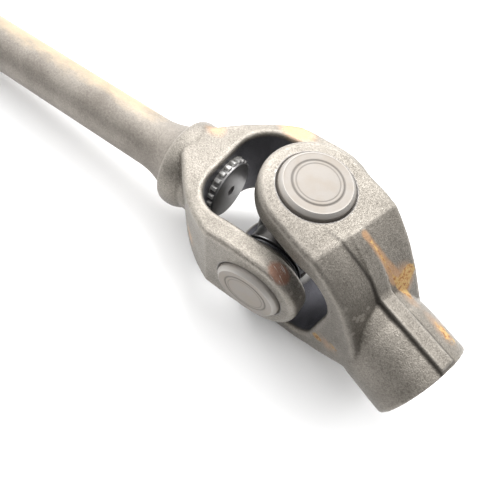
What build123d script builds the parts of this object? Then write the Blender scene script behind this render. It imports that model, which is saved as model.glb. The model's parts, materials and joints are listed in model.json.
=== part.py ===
"""Rear drive shaft with one universal joint and a splined socket yoke.

All sizes are in millimetres. The origin is the centre of the socket's mouth, +X runs out of the
mouth along the socket's axis and +Z runs up through the upper bearing cup. The socket yoke lies
on its lower cup, and the shaft slopes down from the joint until its far splines meet the floor.
"""

import math
import os

from build123d import *

# Bearing cups and cross
cup_diameter = 24.0
cup_span = 61.0
cup_proud = 2.1
cup_mouth = 16.7
cup_floor = 2.5
cup_chamfer = 1.1
face_groove_radius = 8.0
face_groove_width = 0.9
face_groove_depth = 0.35
trunnion_diameter = 14.7
cross_root_diameter = 21.0
cross_heart_relief = 1.2
seal_seat_diameter = 16.8
grease_drilling = 3.6

# Rollers, washers, seals and rings inside each cup
needle_diameter = 2.45
needle_count = 21
washer_thickness = 0.8
needle_end_play = 0.2
seal_flange = 1.3
seal_flange_diameter = 22.6
seal_nose = 1.3
retainer_thickness = 0.6
retainer_diameter = 23.4
retainer_gap = 0.4
ring_thickness = 1.2
ring_groove_depth = 1.0
ring_outer_diameter = 26.8
ring_opening = 64.0

# Forks of both yokes
ear_lead = 3.6
ear_tip = 17.6
fork_width = 36.6
neck_taper = 2.1
neck_lead = 5.0
neck_short = 6.0
pad_end = 18.0
shoulder_reach = 20.6
shoulder_sink = 2.3
shoulder_bulge = 1.5
heel_reach = 7.5
heel_height = 12.0
fork_corner = 12.0
hub_setback = 2.5
bore_overlap = 4.0
edge_round = 2.0
inner_round = 1.5
bore_chamfer = 0.7
spot_face_diameter = 29.6
spot_face_depth = 0.25
land_width = 5.3
land_height = 0.9
land_start = 0.2
land_blend = 5.0

# Socket yoke
socket_reach = 63.5
socket_fork_base = 30.2
socket_hub_diameter = 33.4
socket_waist = 0.6
socket_waist_end = 43.5
socket_waist_blend = 5.0
socket_pilot_diameter = 25.4
socket_pilot_length = 8.0
socket_spline_diameter = 24.4
socket_mouth_round = 1.2

# Shaft yoke
shaft_fork_base = 31.0
shaft_hub_end = 49.9
shaft_hub_diameter = 33.4
collar_start = 41.5
collar_crest = 46.8
collar_crown = 0.5
collar_root = 15.4
shaft_hub_round = 1.2

# Shaft
shaft_diameter = 20.5
shaft_tip = 28.1
tip_boss_length = 2.5
tip_boss_diameter = 22.4
tip_spline_diameter = 24.4
flare_length = 16.0
flare_diameter = 28.9
far_spline_end = 262.0
far_spline_length = 34.0
far_spline_diameter = 20.0
nose_diameter = 17.0
nose_length = 12.0
end_chamfer = 1.0
centre_mark_diameter = 4.0
spline_teeth = 24
spline_depth = 1.0
spline_root_width = 0.62
spline_tip_width = 0.38

# Fits
running_gap = 0.02
seat_gap = 0.01
end_gap = 0.05

# Attitude at rest
bend = 16.8

# Worked out from the sizes above
cup_radius = cup_diameter / 2
cup_face = cup_span / 2
cup_ceiling = cup_face - cup_floor
ear_face = cup_face - cup_proud
ear_inside = cup_mouth + ear_lead
ear_round_limit = (ear_face - ear_inside) / 4
cross_root_height = cup_mouth - seal_flange - retainer_gap - retainer_thickness
cross_heart_radius = cross_root_height - cross_heart_relief
trunnion_radius = trunnion_diameter / 2
trunnion_end = cup_ceiling - washer_thickness - end_gap
cup_bore = trunnion_radius + needle_diameter + 2 * running_gap
seal_seat_radius = seal_seat_diameter / 2
seal_top = cup_mouth + seal_nose
needle_bottom = seal_top + needle_end_play
needle_top = cup_ceiling - washer_thickness - needle_end_play
ring_top = ear_inside - end_gap
ring_bottom = ring_top - ring_thickness
ring_groove_radius = cup_radius - ring_groove_depth
fork_half = fork_width / 2
neck_half = fork_half - neck_taper
neck_start = pad_end - neck_lead
shoulder_end = pad_end + shoulder_reach
neck_end = shoulder_end - neck_short
shoulder_low = socket_hub_diameter / 2 - shoulder_sink
heel_end = shoulder_end + heel_reach
heel_low = heel_height / 2

# The far splines touch the floor at the rim behind their chamfer.
rim_distance = far_spline_end - end_chamfer
rim_radius = far_spline_diameter / 2
slope = math.asin(cup_face / math.hypot(rim_distance, rim_radius)) - math.atan2(rim_radius, rim_distance)
turn = math.radians(bend)

# Frames: the hub of each yoke runs along its frame's +X and its ears stand along +Z and -Z.
joint_centre = (-socket_reach, 0, 0)
shaft_way = (-math.cos(slope) * math.cos(turn), -math.cos(slope) * math.sin(turn), -math.sin(slope))
shaft_pin_way = (-math.sin(turn), math.cos(turn), 0)
socket_frame = Plane(origin=joint_centre, x_dir=(1, 0, 0), z_dir=(0, 0, 1))
shaft_frame = Plane(origin=joint_centre, x_dir=shaft_way, z_dir=shaft_pin_way)
cross_frame = Plane(origin=joint_centre, x_dir=(math.cos(turn), math.sin(turn), 0), z_dir=(0, 0, 1))


def put(shape, frame):
    """The shape moved from its own frame to its place on the part."""
    return frame.location * shape


def save(name, shape):
    """Writes one piece."""
    export_step(shape, os.path.join("parts", name + ".step"))


def turned(*points):
    """Solid turned about Z from (radius, height) points."""
    outline = Polyline(*[(radius, 0, height) for radius, height in points], close=True)
    return revolve(make_face(outline), Axis.Z, 360)


def turned_along_x(*edges):
    """Solid turned about X from edges that close an outline in the XZ plane."""
    return revolve(make_face(Wire(list(edges))), Axis.X, 360)


def slab(edges, half_width):
    """Plate with an outline in the XZ plane, as thick on both sides of it."""
    return extrude(make_face(Wire(list(edges))), half_width, dir=(0, 1, 0), both=True)


def spline_bar(tip_diameter, depth, start, end, gap):
    """Toothed bar along X; the gap widens it into the space that a bar needs."""
    tip = tip_diameter / 2 + gap
    root = tip - depth
    pitch = 2 * math.pi / spline_teeth
    root_share = spline_root_width * pitch / 2 + gap / root
    tip_share = spline_tip_width * pitch / 2 + gap / tip
    corners = []
    for tooth in range(spline_teeth):
        middle = tooth * pitch
        for radius, angle in ((root, -root_share), (tip, -tip_share), (tip, tip_share), (root, root_share)):
            corners.append((start, radius * math.cos(middle + angle), radius * math.sin(middle + angle)))
    return extrude(make_face(Polyline(*corners, close=True)), end - start, dir=(1, 0, 0))


def shoulder_points(side, start_lift, end_lift):
    """Start, middle and end of a shoulder's arc; the lifts raise its ends off the skin."""
    start = Vector(pad_end, 0, ear_face + start_lift)
    end = Vector(shoulder_end, 0, shoulder_low + end_lift)
    run = end - start
    outward = Vector(-run.Z, 0, run.X).normalized()
    middle = (start + end) / 2 + outward * shoulder_bulge
    return [(point.X, 0, side * point.Z) for point in (start, middle, end)]


def fork_plan():
    """Bar with the outline that a fork shows along its pins: round tip, full ears, narrower neck."""
    tip_centre = fork_half - ear_tip
    side = [
        (tip_centre, fork_half, 0),
        (neck_start, fork_half, 0),
        (neck_end, neck_half, 0),
        (2 * heel_end, neck_half, 0),
    ]
    other_side = [(x, -y, z) for x, y, z in reversed(side)]
    rim = Polyline(*side, *other_side)
    tip = Edge.make_three_point_arc(other_side[-1], (-ear_tip, 0, 0), side[0])
    return extrude(make_face(Wire([*rim.edges(), tip])), 2 * ear_face, both=True)


def fork(base):
    """Two ears on a bridge with its shoulders and heel, and the gap that goes between the ears."""
    high, middle, low = shoulder_points(1, 0, 0)
    under_high, under_middle, under_low = shoulder_points(-1, 0, 0)
    heel = (heel_end, 0, heel_low)
    under_heel = (heel_end, 0, -heel_low)
    tip = (-2 * ear_tip, 0, ear_face)
    under_tip = (-2 * ear_tip, 0, -ear_face)
    body = slab(
        [
            Edge.make_line(tip, high),
            Edge.make_three_point_arc(high, middle, low),
            Edge.make_line(low, heel),
            Edge.make_line(heel, under_heel),
            Edge.make_line(under_heel, under_low),
            Edge.make_three_point_arc(under_low, under_middle, under_high),
            Edge.make_line(under_high, under_tip),
            Edge.make_line(under_tip, tip),
        ],
        fork_width,
    )
    body &= fork_plan()
    rims = body.edges().filter_by(Axis.Y, reverse=True).filter_by(Axis.Z, reverse=True)
    body = fillet(rims, min(edge_round, ear_round_limit))
    gap = Pos(base - 1.5 * ear_face, 0, 0) * Box(3 * ear_face, 2 * fork_width, 2 * ear_inside)
    gap = fillet(gap.edges().filter_by(Axis.Y).group_by(Axis.X)[-1], fork_corner)
    body -= gap
    gap_rims = body.edges().filter_by(lambda edge: gap.distance_to(Vertex(*(edge @ 0.5))) < seat_gap)
    body = fillet(gap_rims.filter_by(Axis.Y, reverse=True), min(inner_round, ear_round_limit))
    return body, gap


def land(side, hub_radius, hub_end):
    """Trimmed parting land that runs down the shoulder and along the hub."""
    high, middle, low = shoulder_points(side, land_start, land_height)
    crest = side * (hub_radius + land_height)
    ridge = slab(
        [
            Edge.make_line((pad_end, 0, 0), high),
            Edge.make_three_point_arc(high, middle, low),
            Edge.make_line(low, (shoulder_end, 0, 0)),
            Edge.make_line((shoulder_end, 0, 0), (pad_end, 0, 0)),
        ],
        land_width / 2,
    )
    ridge += Pos((pad_end + hub_end) / 2, 0, crest / 2) * Box(hub_end - pad_end, land_width, abs(crest))
    corners = ridge.edges().filter_by(Axis.Y).filter_by_position(Axis.Z, crest - seat_gap, crest + seat_gap)
    return fillet(corners.sort_by(Axis.X)[0], land_blend)


def ear_holes():
    """Bores of both ears with their chamfers and the faces that the rings bear on."""
    holes = Cylinder(cup_radius + seat_gap, 3 * ear_face)
    flare = cup_radius + bore_chamfer
    for side in (1, -1):
        mouth = turned(
            (0, ear_face - bore_chamfer),
            (cup_radius, ear_face - bore_chamfer),
            (flare + bore_chamfer, ear_face + bore_chamfer),
            (0, ear_face + bore_chamfer),
        )
        spot = Pos(0, 0, ear_inside) * Cylinder(spot_face_diameter / 2, 2 * spot_face_depth)
        holes += mouth if side > 0 else mirror(mouth, Plane.XY)
        holes += spot if side > 0 else mirror(spot, Plane.XY)
    return holes


def make_socket_yoke():
    """Fork and splined socket in one forging."""
    radius = socket_hub_diameter / 2
    waist = radius - socket_waist
    start = socket_fork_base + hub_setback
    blend = (socket_waist_end + socket_waist_blend / 2, 0, radius - socket_waist / 4)
    blend_end = (socket_waist_end + socket_waist_blend, 0, radius)
    body, gap = fork(socket_fork_base)
    body += turned_along_x(
        Edge.make_line((start, 0, 0), (start, 0, waist)),
        Edge.make_line((start, 0, waist), (socket_waist_end, 0, waist)),
        Edge.make_three_point_arc((socket_waist_end, 0, waist), blend, blend_end),
        Edge.make_line(blend_end, (socket_reach, 0, radius)),
        Edge.make_line((socket_reach, 0, radius), (socket_reach, 0, 0)),
        Edge.make_line((socket_reach, 0, 0), (start, 0, 0)),
    )
    for side in (1, -1):
        body += land(side, radius, socket_reach - socket_mouth_round) - gap
    body -= ear_holes()
    pilot = Rot(0, 90, 0) * Cylinder(socket_pilot_diameter / 2, 2 * socket_pilot_length)
    body -= Pos(socket_reach, 0, 0) * pilot
    bore_start = socket_fork_base - bore_overlap
    bore_end = socket_reach - socket_pilot_length + end_chamfer
    body -= spline_bar(socket_spline_diameter, spline_depth, bore_start, bore_end, 0)
    return body


def make_shaft_yoke():
    """Fork with a short crowned collar that is splined to the shaft."""
    radius = shaft_hub_diameter / 2
    start = shaft_fork_base + hub_setback
    body = fork(shaft_fork_base)[0]
    hub = turned_along_x(
        Edge.make_line((start, 0, 0), (start, 0, collar_root)),
        Edge.make_line((start, 0, collar_root), (collar_start, 0, collar_root)),
        Edge.make_three_point_arc(
            (collar_start, 0, collar_root),
            (collar_crest, 0, radius + collar_crown),
            (shaft_hub_end, 0, radius),
        ),
        Edge.make_line((shaft_hub_end, 0, radius), (shaft_hub_end, 0, 0)),
        Edge.make_line((shaft_hub_end, 0, 0), (start, 0, 0)),
    )
    hub = fillet(hub.edges().filter_by(GeomType.CIRCLE).group_by(Axis.X)[-1], shaft_hub_round)
    body += hub
    body -= ear_holes()
    bore_start = shaft_fork_base - bore_overlap
    bore_end = shaft_hub_end + end_chamfer
    body -= spline_bar(tip_spline_diameter, spline_depth, bore_start, bore_end, running_gap)
    return body


def make_shaft():
    """Shaft with splines at both ends and a flare that seats on the yoke's hub."""
    seat = shaft_hub_end + seat_gap
    flare_end = seat + flare_length
    flare_radius = flare_diameter / 2
    radius = shaft_diameter / 2
    rise = flare_radius - radius
    bow = (flare_length**2 + rise**2) / (2 * rise)
    half_run = flare_length / 2
    half_rise = bow - math.sqrt(bow**2 - half_run**2)
    far_start = far_spline_end - far_spline_length
    boss = tip_boss_diameter / 2
    nose = nose_diameter / 2
    nose_end = far_spline_end + nose_length
    tip_root = tip_spline_diameter / 2 - spline_depth
    far_root = far_spline_diameter / 2 - spline_depth
    boss_end = shaft_tip + tip_boss_length
    corners = [
        (shaft_tip, boss - end_chamfer / 2),
        (shaft_tip + end_chamfer / 2, boss),
        (boss_end, boss),
        (boss_end, tip_root),
        (seat, tip_root),
        (seat, flare_radius),
    ]
    lines = [Edge.make_line((shaft_tip, 0, 0), (corners[0][0], 0, corners[0][1]))]
    for here, there in zip(corners, corners[1:]):
        if math.dist(here, there) > 0.001:
            lines.append(Edge.make_line((here[0], 0, here[1]), (there[0], 0, there[1])))
    middle = (flare_end - half_run, 0, radius + half_rise)
    lines.append(Edge.make_three_point_arc((seat, 0, flare_radius), middle, (flare_end, 0, radius)))
    tail = [
        (flare_end, radius),
        (far_start - end_chamfer, radius),
        (far_start, far_root),
        (far_spline_end, far_root),
        (far_spline_end, nose),
        (nose_end - end_chamfer, nose),
        (nose_end, nose - end_chamfer),
        (nose_end, 0),
        (shaft_tip, 0),
    ]
    for here, there in zip(tail, tail[1:]):
        lines.append(Edge.make_line((here[0], 0, here[1]), (there[0], 0, there[1])))
    body = turned_along_x(*lines)
    body += spline_bar(tip_spline_diameter, spline_depth, boss_end, seat, 0)
    teeth = spline_bar(far_spline_diameter, spline_depth, far_start - end_chamfer, far_spline_end, 0)
    rim = far_spline_diameter / 2
    trim = turned_along_x(
        Edge.make_line((far_start - end_chamfer, 0, 0), (far_start - end_chamfer, 0, radius)),
        Edge.make_line((far_start - end_chamfer, 0, radius), (far_start, 0, rim)),
        Edge.make_line((far_start, 0, rim), (rim_distance, 0, rim)),
        Edge.make_line((rim_distance, 0, rim), (far_spline_end, 0, rim - end_chamfer)),
        Edge.make_line((far_spline_end, 0, rim - end_chamfer), (far_spline_end, 0, 0)),
        Edge.make_line((far_spline_end, 0, 0), (far_start - end_chamfer, 0, 0)),
    )
    body += teeth & trim
    mark = centre_mark_diameter / 2
    for face, way in ((shaft_tip, 1), (nose_end, -1)):
        cone = turned((0, -end_chamfer), (mark + end_chamfer, -end_chamfer), (0, mark))
        body -= Pos(face, 0, 0) * Rot(0, 90 * way, 0) * cone
    return body


def make_cross():
    """Four trunnions on a forged heart, drilled for grease."""
    root = cross_root_diameter / 2
    arm = turned(
        (0, 0),
        (root, 0),
        (root, cross_root_height),
        (seal_seat_radius, cross_root_height),
        (seal_seat_radius, seal_top),
        (trunnion_radius, seal_top),
        (trunnion_radius, trunnion_end - end_chamfer / 2),
        (trunnion_radius - end_chamfer / 2, trunnion_end),
        (0, trunnion_end),
    )
    body = Sphere(cross_heart_radius)
    for angle in (0, 90, 180, 270):
        body += Rot(angle, 0, 0) * arm
    for angle in (0, 90):
        body -= Rot(angle, 0, 0) * Cylinder(grease_drilling / 2, 2.5 * cup_face)
    return body


def make_cup():
    """Drawn cup with a ring groove and a turned face."""
    groove_in = face_groove_radius - face_groove_width / 2
    groove_out = face_groove_radius + face_groove_width / 2
    groove_low = cup_face - face_groove_depth
    return turned(
        (0, cup_ceiling),
        (cup_bore, cup_ceiling),
        (cup_bore, cup_mouth),
        (cup_radius - end_chamfer / 2, cup_mouth),
        (cup_radius, cup_mouth + end_chamfer / 2),
        (cup_radius, ring_bottom),
        (ring_groove_radius, ring_bottom),
        (ring_groove_radius, ring_top),
        (cup_radius, ring_top),
        (cup_radius, cup_face - cup_chamfer),
        (cup_radius - cup_chamfer, cup_face),
        (groove_out, cup_face),
        (groove_out, groove_low),
        (groove_in, groove_low),
        (groove_in, cup_face),
        (0, cup_face),
    )


def make_needles():
    """Full ring of needle rollers."""
    pitch_radius = trunnion_radius + running_gap + needle_diameter / 2
    length = needle_top - needle_bottom
    needles = []
    for count in range(needle_count):
        angle = 360 * count / needle_count
        needle = Cylinder(needle_diameter / 2, length)
        needles.append(Rot(0, 0, angle) * Pos(pitch_radius, 0, (needle_top + needle_bottom) / 2) * needle)
    return Compound(children=needles)


def make_washer():
    """Thrust washer between the trunnion's end and the cup's floor."""
    outer = cup_bore - end_gap
    inner = grease_drilling / 2 + 1.0
    bottom = cup_ceiling - washer_thickness
    return turned((inner, bottom), (outer, bottom), (outer, cup_ceiling), (inner, cup_ceiling))


def make_seal():
    """Rubber seal with its nose in the cup's mouth and its flange outside."""
    inner = seal_seat_radius + running_gap
    nose = cup_bore - seat_gap
    flange = seal_flange_diameter / 2
    bottom = cup_mouth - seal_flange
    return turned(
        (inner, bottom),
        (flange - 0.4, bottom),
        (flange, bottom + 0.4),
        (flange, cup_mouth - 0.4),
        (flange - 0.4, cup_mouth - seat_gap),
        (nose, cup_mouth - seat_gap),
        (nose, seal_top - seat_gap),
        (inner, seal_top - seat_gap),
    )


def make_retainer():
    """Thin steel cap pressed on the cross behind each seal."""
    inner = seal_seat_radius + seat_gap
    outer = retainer_diameter / 2
    bottom = cross_root_height + seat_gap
    return turned(
        (inner, bottom),
        (outer - 0.3, bottom),
        (outer, bottom + 0.3),
        (outer, bottom + retainer_thickness),
        (inner, bottom + retainer_thickness),
    )


def make_ring():
    """Open snap ring that holds the cup from inside the ear."""
    inner = ring_groove_radius + seat_gap
    outer = ring_outer_diameter / 2
    ring = turned(
        (inner, ring_bottom + seat_gap),
        (outer, ring_bottom + seat_gap),
        (outer, ring_top - seat_gap),
        (inner, ring_top - seat_gap),
    )
    half = math.radians(ring_opening / 2)
    reach = ring_outer_diameter
    wedge = Polyline(
        (0, 0, 0),
        (reach, -reach * math.tan(half), 0),
        (reach, reach * math.tan(half), 0),
        close=True,
    )
    return ring - extrude(make_face(wedge), 3 * cup_face, both=True)


def main():
    os.makedirs("parts", exist_ok=True)
    save("drive_shaft", put(make_shaft(), shaft_frame))
    save("shaft_yoke", put(make_shaft_yoke(), shaft_frame))
    save("socket_yoke", put(make_socket_yoke(), socket_frame))
    save("cross", put(make_cross(), cross_frame))
    pieces = {
        "bearing_cup": make_cup(),
        "needle_rollers": make_needles(),
        "thrust_washer": make_washer(),
        "dust_seal": make_seal(),
        "seal_retainer": make_retainer(),
        "snap_ring": make_ring(),
    }
    away = tuple(-number for number in shaft_pin_way)
    seats = {
        "top": Plane(origin=joint_centre, x_dir=(1, 0, 0), z_dir=(0, 0, 1)),
        "bottom": Plane(origin=joint_centre, x_dir=(1, 0, 0), z_dir=(0, 0, -1)),
        "left": Plane(origin=joint_centre, x_dir=shaft_way, z_dir=shaft_pin_way),
        "right": Plane(origin=joint_centre, x_dir=shaft_way, z_dir=away),
    }
    for seat, frame in seats.items():
        for name, piece in pieces.items():
            save(name + "_" + seat, put(piece, frame))


main()
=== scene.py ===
"""Looks of a rear drive shaft with a universal joint: forged yokes, turned shaft, cups and seals."""

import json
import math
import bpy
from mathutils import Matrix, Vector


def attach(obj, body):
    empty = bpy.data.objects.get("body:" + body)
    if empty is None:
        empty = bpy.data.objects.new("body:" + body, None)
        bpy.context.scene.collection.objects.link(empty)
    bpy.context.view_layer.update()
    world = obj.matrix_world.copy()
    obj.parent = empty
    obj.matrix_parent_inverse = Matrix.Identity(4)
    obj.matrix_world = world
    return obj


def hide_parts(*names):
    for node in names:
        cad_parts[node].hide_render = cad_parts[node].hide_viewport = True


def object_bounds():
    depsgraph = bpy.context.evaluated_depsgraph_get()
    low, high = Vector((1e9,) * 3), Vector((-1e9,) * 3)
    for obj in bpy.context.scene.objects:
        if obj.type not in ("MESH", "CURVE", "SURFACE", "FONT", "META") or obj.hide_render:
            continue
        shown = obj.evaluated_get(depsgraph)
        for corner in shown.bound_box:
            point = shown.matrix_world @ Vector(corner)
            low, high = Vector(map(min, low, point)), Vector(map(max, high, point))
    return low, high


bl_info = {
    "name": "Drive Shaft Dresser",
    "version": (1, 0, 0),
    "blender": (4, 5, 0),
    "location": "3D View > Sidebar > Drive Shaft",
    "description": "Builds the surfaces of a drive shaft with a universal joint around its frame",
    "category": "Object",
}

import bpy
import numpy as np
from bpy.props import FloatProperty, FloatVectorProperty, IntProperty, PointerProperty
from mathutils import Matrix, Vector, noise

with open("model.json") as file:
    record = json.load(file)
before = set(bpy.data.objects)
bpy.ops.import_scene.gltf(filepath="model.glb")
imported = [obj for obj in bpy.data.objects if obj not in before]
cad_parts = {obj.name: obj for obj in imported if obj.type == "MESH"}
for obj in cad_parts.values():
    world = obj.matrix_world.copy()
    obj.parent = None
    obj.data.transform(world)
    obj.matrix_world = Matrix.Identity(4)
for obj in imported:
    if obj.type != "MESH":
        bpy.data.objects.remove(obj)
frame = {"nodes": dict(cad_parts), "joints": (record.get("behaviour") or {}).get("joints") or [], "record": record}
CAD_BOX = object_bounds()
MM = 0.001
ON_AXIS = 1e-7
CUTTER_LEAD = 5 * MM
STEPS_PER_TOOTH = 16
PARTS = frame["nodes"]
JOINT = Vector(frame["joints"][0]["pos_m"])
PIN_WAY = Vector(frame["joints"][0]["axis"]).normalized()
UP = Vector((0, 0, 1))
ACROSS = Vector((1, 0, 0))
MOUNTS = {mount["name"]: mount for mount in frame["record"]["mounts"]}
SHAFT_WAY = Vector(MOUNTS["shaft_nose"]["axis"]).normalized()


def frame_at(x_way, z_way):
    """Matrix of a frame at the joint's centre with these X and Z directions."""
    y_way = z_way.cross(x_way)
    turn = Matrix((x_way, y_way, z_way)).transposed().to_4x4()
    return Matrix.Translation(JOINT) @ turn


SOCKET_FRAME = frame_at(ACROSS, UP)
SHAFT_FRAME = frame_at(SHAFT_WAY, PIN_WAY)
SEATS = {
    "top": SOCKET_FRAME,
    "bottom": frame_at(ACROSS, -UP),
    "left": SHAFT_FRAME,
    "right": frame_at(SHAFT_WAY, -PIN_WAY),
}
SEAT_BODY = {"top": "socket", "bottom": "socket", "left": "shaft", "right": "shaft"}


class ForgingSizes(bpy.types.PropertyGroup):
    """Sizes of the two forged yokes' skin."""

    voxel: FloatProperty(
        name="Voxel",
        description="Side of a remeshing voxel",
        default=0.42 * MM,
        unit="LENGTH",
    )
    passes: IntProperty(
        name="Passes",
        description="Smoothing passes that soften the forged edges",
        default=5,
    )
    wave: FloatProperty(
        name="Wave",
        description="Height of the forging's slow waves",
        default=0.08 * MM,
        unit="LENGTH",
    )
    peel: FloatProperty(
        name="Peel",
        description="Height of the forging's grain",
        default=0.035 * MM,
        unit="LENGTH",
    )
    bore: FloatProperty(
        name="Cup bore",
        description="Radius of the ears' bores",
        default=12.01 * MM,
        unit="LENGTH",
    )
    ear_face: FloatProperty(
        name="Ear face",
        description="Joint centre to an ear's face",
        default=28.4 * MM,
        unit="LENGTH",
    )
    ear_inside: FloatProperty(
        name="Ear inside",
        description="Joint centre to an ear's inner face",
        default=20.3 * MM,
        unit="LENGTH",
    )
    chamfer: FloatProperty(
        name="Bore chamfer",
        description="Chamfer at the bores' mouths",
        default=0.7 * MM,
        unit="LENGTH",
    )
    spot: FloatProperty(
        name="Spot face",
        description="Radius of the faces for the rings",
        default=14.8 * MM,
        unit="LENGTH",
    )
    spot_depth: FloatProperty(
        name="Spot depth",
        description="Depth of those faces",
        default=0.25 * MM,
        unit="LENGTH",
    )
    socket_base: FloatProperty(
        name="Socket base",
        description="Joint centre to the socket fork's base",
        default=30.2 * MM,
        unit="LENGTH",
    )
    socket_reach: FloatProperty(
        name="Socket reach",
        description="Joint centre to the socket's mouth",
        default=63.5 * MM,
        unit="LENGTH",
    )
    socket_spline: FloatProperty(
        name="Socket spline",
        description="Outer radius of the socket's splines",
        default=12.2 * MM,
        unit="LENGTH",
    )
    shaft_base: FloatProperty(
        name="Shaft base",
        description="Joint centre to the shaft fork's base",
        default=31.0 * MM,
        unit="LENGTH",
    )
    shaft_hub: FloatProperty(
        name="Shaft hub",
        description="Joint centre to the shaft yoke's end",
        default=49.9 * MM,
        unit="LENGTH",
    )
    depth: FloatProperty(
        name="Tooth depth",
        description="Depth of the splines",
        default=1.0 * MM,
        unit="LENGTH",
    )
    teeth: IntProperty(
        name="Teeth",
        description="Number of spline teeth",
        default=24,
    )


class ShaftSizes(bpy.types.PropertyGroup):
    """Sizes of the turned shaft, from the joint's centre."""

    tip: FloatProperty(
        name="Tip",
        description="Distance to the shaft's end inside the fork",
        default=28.1 * MM,
        unit="LENGTH",
    )
    boss: FloatProperty(
        name="Boss",
        description="Radius of the turned end",
        default=11.2 * MM,
        unit="LENGTH",
    )
    boss_length: FloatProperty(
        name="Boss length",
        description="Length of the turned end",
        default=0.8 * MM,
        unit="LENGTH",
    )
    tip_spline: FloatProperty(
        name="Tip spline",
        description="Outer radius of the yoke's splines",
        default=12.2 * MM,
        unit="LENGTH",
    )
    seat: FloatProperty(
        name="Seat",
        description="Distance to the hub's end face",
        default=49.91 * MM,
        unit="LENGTH",
    )
    flare: FloatProperty(
        name="Flare",
        description="Radius of the flare at the hub",
        default=14.45 * MM,
        unit="LENGTH",
    )
    flare_length: FloatProperty(
        name="Flare length",
        description="Length of the flare",
        default=16.0 * MM,
        unit="LENGTH",
    )
    radius: FloatProperty(
        name="Radius",
        description="Radius of the plain shaft",
        default=10.25 * MM,
        unit="LENGTH",
    )
    far_end: FloatProperty(
        name="Far splines' end",
        description="Distance to the end of the far splines",
        default=262.0 * MM,
        unit="LENGTH",
    )
    far_length: FloatProperty(
        name="Far splines",
        description="Length of the far splines",
        default=34.0 * MM,
        unit="LENGTH",
    )
    far_spline: FloatProperty(
        name="Far spline",
        description="Outer radius of the far splines",
        default=10.0 * MM,
        unit="LENGTH",
    )
    nose: FloatProperty(
        name="Nose",
        description="Radius of the turned nose",
        default=8.5 * MM,
        unit="LENGTH",
    )
    nose_length: FloatProperty(
        name="Nose length",
        description="Length of the turned nose",
        default=12.0 * MM,
        unit="LENGTH",
    )
    chamfer: FloatProperty(
        name="Chamfer",
        description="Chamfer of the turned ends",
        default=1.0 * MM,
        unit="LENGTH",
    )
    mark: FloatProperty(
        name="Centre mark",
        description="Radius of the turning centres",
        default=2.0 * MM,
        unit="LENGTH",
    )


class CupSizes(bpy.types.PropertyGroup):
    """Sizes of a bearing cup, from the joint's centre."""

    radius: FloatProperty(
        name="Radius",
        description="Outer radius of a cup",
        default=12.0 * MM,
        unit="LENGTH",
    )
    bore: FloatProperty(
        name="Bore",
        description="Inner radius of a cup",
        default=9.84 * MM,
        unit="LENGTH",
    )
    face: FloatProperty(
        name="Face",
        description="Distance to the cup's face",
        default=30.5 * MM,
        unit="LENGTH",
    )
    length: FloatProperty(
        name="Length",
        description="Length of a cup",
        default=13.8 * MM,
        unit="LENGTH",
    )
    floor: FloatProperty(
        name="Floor",
        description="Thickness of a cup's floor",
        default=2.5 * MM,
        unit="LENGTH",
    )
    chamfer: FloatProperty(
        name="Chamfer",
        description="Chamfer round the face",
        default=1.25 * MM,
        unit="LENGTH",
    )
    groove: FloatProperty(
        name="Groove",
        description="Radius of the face's groove",
        default=8.0 * MM,
        unit="LENGTH",
    )
    groove_width: FloatProperty(
        name="Groove width",
        description="Width of the groove",
        default=0.9 * MM,
        unit="LENGTH",
    )
    groove_depth: FloatProperty(
        name="Groove depth",
        description="Depth of the groove",
        default=0.35 * MM,
        unit="LENGTH",
    )
    ring_top: FloatProperty(
        name="Ring top",
        description="Distance to the ring groove's outer side",
        default=20.25 * MM,
        unit="LENGTH",
    )
    ring_width: FloatProperty(
        name="Ring groove",
        description="Width of the ring groove",
        default=1.2 * MM,
        unit="LENGTH",
    )
    ring_depth: FloatProperty(
        name="Ring depth",
        description="Depth of the ring groove",
        default=1.0 * MM,
        unit="LENGTH",
    )


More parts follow.
